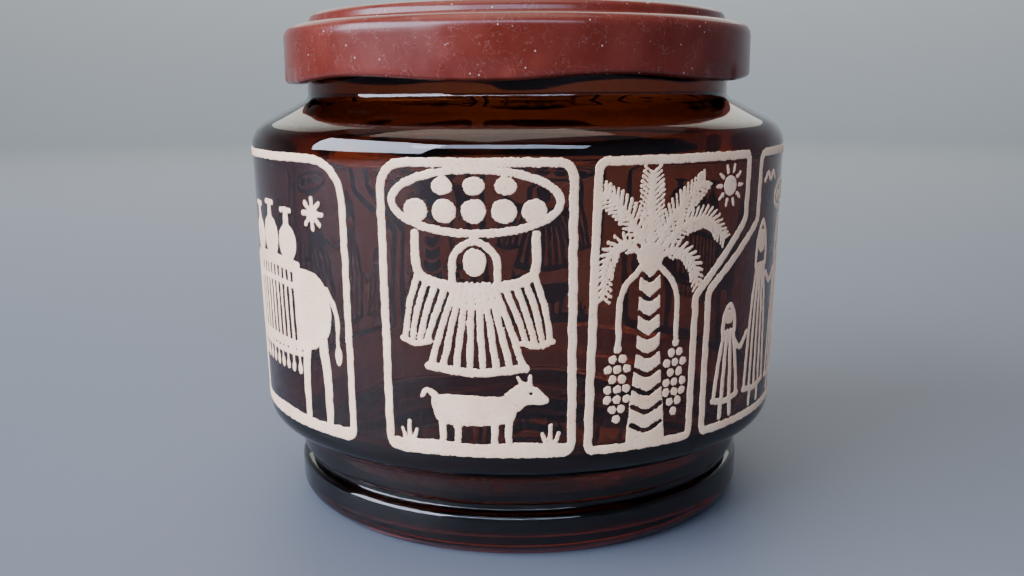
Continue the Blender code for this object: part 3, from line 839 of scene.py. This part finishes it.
def stoved_paint(settings):
    """Stoved paint on tinplate: red-brown, glossy, with dust, rubbed patches and hairline scratches."""
    def finish(tree, place):
        # rubbed patches of 9 mm, orange peel of 0.8 mm, dust specks some 2 mm apart
        rubbed = noise(tree, place, 9, 5.0, 0.6)
        peel = noise(tree, place, 0.8, 1.0)
        dust = add(tree, "ShaderNodeTexVoronoi", {"Scale": 1 / (2.1 * MM), "Randomness": 1.0},
                   {"Vector": place}).outputs["Distance"]
        paint = blend(tree, ranged(tree, rubbed, 0.42, 0.7), settings.paint, settings.faded)
        speck = ranged(tree, dust, 0.05, 0.075, 0.75, 0.0)
        # curly hairlines follow the level lines of a 1.1 mm noise and break off
        level = add(tree, "ShaderNodeMath", {1: 0.5}, {0: noise(tree, place, 1.1, 2.0)},
                    operation="SUBTRACT")
        near = add(tree, "ShaderNodeMath", links={0: level.outputs[0]}, operation="ABSOLUTE")
        hair = ranged(tree, near.outputs[0], 0.003, 0.013, 0.13, 0.0)
        kept = ranged(tree, noise(tree, place, 2.6, 1.0), 0.42, 0.6)
        broken = add(tree, "ShaderNodeMath", links={0: hair, 1: kept}, operation="MULTIPLY")
        marks = add(tree, "ShaderNodeMath", links={0: speck, 1: broken.outputs[0]}, operation="MAXIMUM")
        marked = add(tree, "ShaderNodeMix", {7: (*linear("#c9b3ab"), 1.0)},
                     {"Factor": marks.outputs[0], 6: paint}, data_type="RGBA").outputs[2]
        values = {"IOR": 1.5, "Specular IOR Level": 0.32, "Coat Weight": 0.06, "Coat Roughness": 0.1}
        gloss = ranged(tree, rubbed, 0, 1, 0.14, 0.34)
        return coated(tree, values, marked, gloss, bump(tree, peel, 0.3, 0.02))
    return new_material("stoved_red_brown_paint", finish)


def gold_lacquer(settings):
    """Tinplate under a baked gold lacquer: a warm metal with the rolling mill's fine lines."""
    def finish(tree, place):
        # rolling lines run one way, 0.5 mm apart
        scale = (1 / (0.5 * MM), 1 / (20 * MM), 1 / (20 * MM))
        stretched = add(tree, "ShaderNodeMapping", {"Scale": scale}, {"Vector": place}).outputs[0]
        rolled = add(tree, "ShaderNodeTexNoise", {"Scale": 1.0, "Detail": 2.0},
                     {"Vector": stretched}).outputs["Fac"]
        stain = ranged(tree, noise(tree, place, 7, 3.0), 0.3, 0.7)
        shade = blend(tree, stain, settings.lacquer, linear("#cdb27c"))
        gloss = ranged(tree, rolled, 0, 1, 0.24, 0.42)
        return coated(tree, {"Metallic": 0.85}, shade, gloss, bump(tree, rolled, 0.2, 0.01))
    return new_material("gold_lacquered_tinplate", finish)


def sealing_compound(settings):
    """Flowed-in plastisol: soft cream, dull, with faint flow marks."""
    def finish(tree, place):
        # flow marks of 3 mm and a fine 0.5 mm matt grain
        flow = noise(tree, place, 3, 3.0)
        grain = noise(tree, place, 0.5, 1.0)
        shade = blend(tree, flow, settings.compound, linear("#e2dccd"))
        gloss = ranged(tree, flow, 0, 1, 0.45, 0.65)
        values = {"IOR": 1.48, "Subsurface Weight": 0.05}
        return coated(tree, values, shade, gloss, bump(tree, grain, 0.3, 0.04))
    return new_material("cream_plastisol", finish)


def matt_stage(name, tone):
    """Matt painted board: one tone with a faint 60 mm mottle."""
    def finish(tree, place):
        shade = blend(tree, noise(tree, place, 60, 2.0), tone, [0.97 * c for c in tone])
        return {"Surface": add(tree, "ShaderNodeBsdfPrincipled", {"Roughness": 0.6}, {"Base Color": shade})}
    return new_material(name, finish)


# ---------------------------------------------------------------- operators

class GlassOperator(bpy.types.Operator):
    """Make the pressed-glass jar with its neck thread"""
    bl_idname = "storage_jar.glass"
    bl_label = "Glass jar"

    def execute(self, context):
        settings = context.scene.jar_glass
        piece = turned("glass_jar", jar_grid(settings), [amber_glass(settings)])
        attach(piece, "jar")
        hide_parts("jar_body")
        return {"FINISHED"}


class FriezeOperator(bpy.types.Operator):
    """Print the four enamel panels, twice around the jar"""
    bl_idname = "storage_jar.frieze"
    bl_label = "Enamel frieze"

    def execute(self, context):
        settings = context.scene.jar_print
        material = fired_enamel(settings)
        body = np.array([(HEEL_RADIUS, HEEL_HEIGHT), (BODY_RADIUS, SHOULDER_HEIGHT)])
        for name, start, width, draw in PANELS:
            stencil = Stencil(width)
            draw(stencil)
            for side, turn in (("front", 0.0), ("back", 180.0)):
                piece = enamel_panel(f"print_{name}_{side}", start + turn, stencil, body, settings, material)
                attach(piece, "jar")
        return {"FINISHED"}


class SealOperator(bpy.types.Operator):
    """Make the ring of sealing compound"""
    bl_idname = "storage_jar.seal"
    bl_label = "Sealing ring"

    def execute(self, context):
        settings = context.scene.jar_seal
        piece = turned("sealing_ring", seal_grid(settings), [sealing_compound(settings)], ring=True)
        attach(piece, "seal")
        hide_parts("lid_gasket")
        return {"FINISHED"}


class LidOperator(bpy.types.Operator):
    """Make the painted lid with its rolled and lugged edge"""
    bl_idname = "storage_jar.lid"
    bl_label = "Twist-off lid"

    def execute(self, context):
        settings = context.scene.jar_lid
        grid, inside_row = lid_grid(settings)
        piece = turned("painted_lid", grid, [stoved_paint(settings), gold_lacquer(settings)], inside_row)
        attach(piece, "lid")
        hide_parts("lid_shell")
        return {"FINISHED"}


class StageOperator(bpy.types.Operator):
    """Set the table, the wall around it, the lights and the camera"""
    bl_idname = "storage_jar.stage"
    bl_label = "Stage"

    def execute(self, context):
        settings = context.scene.jar_stage
        far = settings.radius / MM
        azimuth = np.arange(0, 360, 3.0)
        line = spaced(rounded([(0, -0.05, 0), (far, -0.05, 500.0), (far, 2200.0, 0)]), 120.0)
        rings = around(line[1:, :1], azimuth, line[1:, 1:])
        points = np.vstack([rings.reshape(-1, 3), [[0, 0, -0.05 * MM]]])
        count = len(azimuth)
        first = np.arange(count)
        cap = np.stack([np.roll(first, -1), first, np.full(count, len(points) - 1)], 1)
        mesh = bpy.data.meshes.new("stage_bowl")
        faces = np.vstack([cap, lattice(len(line) - 1, count, False)])
        mesh.from_pydata(points.tolist(), [], faces.tolist())
        mesh.materials.append(matt_stage("pale_table", settings.floor))
        mesh.shade_smooth()
        bowl = bpy.data.objects.new("stage_bowl", mesh)
        context.scene.collection.objects.link(bowl)
        self.set_lights(context)
        self.set_camera(context)
        return {"FINISHED"}

    @staticmethod
    def set_lights(context):
        """Soft panels: (name, place, aim, width, height, spread in degrees, power, colour)."""
        jar, backdrop = (0, 0, 0.05), (0, 1.9, 0.25)
        for name, place, target, wide, tall, spread, power, code in (
                ("window_light", (-1.05, -0.50, 0.60), jar, 1.3, 0.75, 160.0, 42.0, "#e2e9ff"),
                ("sky_light", (-0.2, -1.45, 1.05), jar, 2.3, 0.4, 150.0, 21.0, "#cfdeff"),
                ("back_light", (0.0, 1.35, 1.05), jar, 3.0, 1.3, 120.0, 9.0, "#f6f6e6"),
                ("ceiling_light", (-0.2, -0.15, 1.7), jar, 1.6, 1.6, 140.0, 10.0, "#fff4e6"),
                ("backdrop_light", (0.0, 0.6, 1.7), backdrop, 2.0, 0.6, 120.0, 46.0, "#fbfbe8")):
            light = bpy.data.lights.new(name, "AREA")
            light.shape = "RECTANGLE"
            light.size, light.size_y, light.energy = wide, tall, power
            light.spread, light.color = math.radians(spread), linear(code)
            lamp = bpy.data.objects.new(name, light)
            lamp.location = place
            aim = Vector(target) - Vector(place)
            lamp.rotation_euler = aim.to_track_quat("-Z", "Y").to_euler()
            context.scene.collection.objects.link(lamp)
        world = context.scene.world or bpy.data.worlds.new("room")
        context.scene.world = world
        world.use_nodes = True
        shade = world.node_tree.nodes["Background"]
        shade.inputs["Color"].default_value = (*linear("#e9ecf2"), 1.0)
        shade.inputs["Strength"].default_value = 0.3

    @staticmethod
    def set_camera(context):
        """Slightly above the shoulder, 196 mm from the axis, tipped 10.9 degrees down."""
        pitch, yaw, roll = (math.radians(a) for a in (10.94, -0.35, -0.38))
        ahead = Vector((math.sin(yaw) * math.cos(pitch), math.cos(yaw) * math.cos(pitch), -math.sin(pitch)))
        level = Vector((math.cos(yaw), -math.sin(yaw), 0))
        upright = level.cross(ahead)
        right = level * math.cos(roll) + upright * math.sin(roll)
        up = upright * math.cos(roll) - level * math.sin(roll)
        view = bpy.data.cameras.new("camera")
        view.sensor_width, view.lens = 36.0, 35.76
        view.clip_start = 0.01
        camera = bpy.data.objects.new("camera", view)
        turn = Matrix((right, up, -ahead)).transposed().to_4x4()
        place = (0, -0.19603, 0.07443)
        camera.matrix_world = Matrix.Translation(place) @ turn
        context.scene.collection.objects.link(camera)
        context.scene.camera = camera


OPERATORS = (GlassOperator, FriezeOperator, SealOperator, LidOperator, StageOperator)
SETTINGS = {"jar_glass": GlassSettings, "jar_print": PrintSettings, "jar_seal": SealSettings,
            "jar_lid": LidSettings, "jar_stage": StageSettings}


class StorageJarPanel(bpy.types.Panel):
    """Sizes and colours of the jar, and the operators that make its pieces"""
    bl_idname = "VIEW3D_PT_storage_jar"
    bl_label = "Storage jar"
    bl_space_type = "VIEW_3D"
    bl_region_type = "UI"
    bl_category = "Storage jar"

    def draw(self, context):
        for (group, kind), operator in zip(SETTINGS.items(), OPERATORS):
            box = self.layout.box()
            for name in kind.__annotations__:
                box.prop(getattr(context.scene, group), name)
            box.operator(operator.bl_idname)


CLASSES = (*SETTINGS.values(), *OPERATORS, StorageJarPanel)


def register():
    for kind in CLASSES:
        bpy.utils.register_class(kind)
    for name, kind in SETTINGS.items():
        setattr(bpy.types.Scene, name, bpy.props.PointerProperty(type=kind))


def unregister():
    for name in SETTINGS:
        delattr(bpy.types.Scene, name)
    for kind in reversed(CLASSES):
        bpy.utils.unregister_class(kind)


def main():
    register()
    bpy.ops.storage_jar.glass()
    bpy.ops.storage_jar.frieze()
    bpy.ops.storage_jar.seal()
    bpy.ops.storage_jar.lid()
    bpy.ops.storage_jar.stage()


if __name__ == "__main__":
    main()
